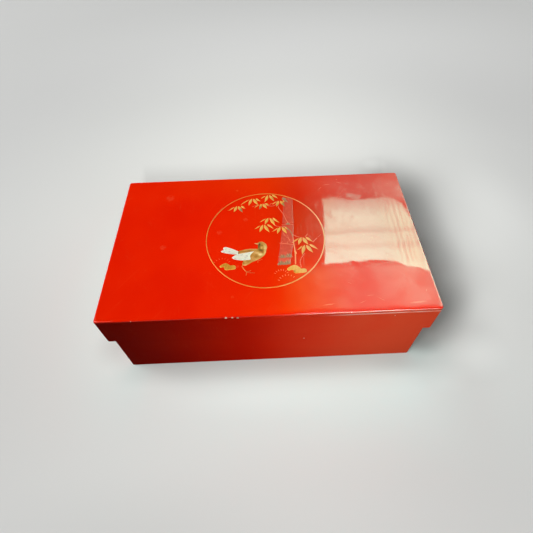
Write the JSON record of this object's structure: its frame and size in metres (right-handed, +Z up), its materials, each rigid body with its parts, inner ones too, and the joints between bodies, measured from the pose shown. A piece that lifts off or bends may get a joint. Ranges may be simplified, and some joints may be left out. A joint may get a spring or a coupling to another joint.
{
  "type": "lacquered box",
  "caption": "Rectangular lacquered box for papers and keepsakes, with a lift-off lid that drops over the walls and carries a round gold and shell picture.",
  "frame": {"origin": "middle of the underside, where the foot rim stands on the table", "axes": "+Z up, +X along the length to the viewer's right, -Y is the front that the picture faces"},
  "size_m": [0.26, 0.147, 0.0931],
  "materials": {
    "red_lacquer": "vermilion lacquer over wood, polished to a high gloss",
    "black_lacquer": "black lacquer over wood, soft gloss",
    "bare_wood": "bare cypress, under the lacquer",
    "bamboo": "bamboo, under the lacquer",
    "gold": "sprinkled gold in lacquer, satin",
    "pale_gold": "sprinkled pale gold in lacquer, satin",
    "bird_gold": "shaded dark and bright gold in lacquer, satin",
    "dark_gold": "gold gone dark and greenish, satin",
    "worn_gold": "gold dust worn so thin that the red shows through",
    "shell": "white mother-of-pearl, polished"
  },
  "bodies": {
    "box": {"front_wall": "red_lacquer", "back_wall": "red_lacquer", "left_wall": "red_lacquer", "right_wall": "red_lacquer", "wall_corner_slips": "bare_wood", "bottom_panel": "black_lacquer", "bottom_pegs": "bamboo"},
    "lid": {"lid_panel": "red_lacquer", "lid_front_rail": "red_lacquer", "lid_back_rail": "red_lacquer", "lid_left_rail": "red_lacquer", "lid_right_rail": "red_lacquer", "lid_corner_slips": "bare_wood", "gold_ring": "gold", "gold_leaves": "gold", "gold_stems": "gold", "gold_stones": "pale_gold", "gold_grass": "gold", "dark_sprigs": "dark_gold", "worn_culm": "worn_gold", "gold_bird": "bird_gold", "shell_wing": "shell", "shell_tail": "shell"}
  },
  "joints": [
    {"name": "lid_lift", "type": "slide", "parent": "box", "child": "lid", "axis": [0, 0, 1], "range_m": [0, 0.08]}
  ]
}
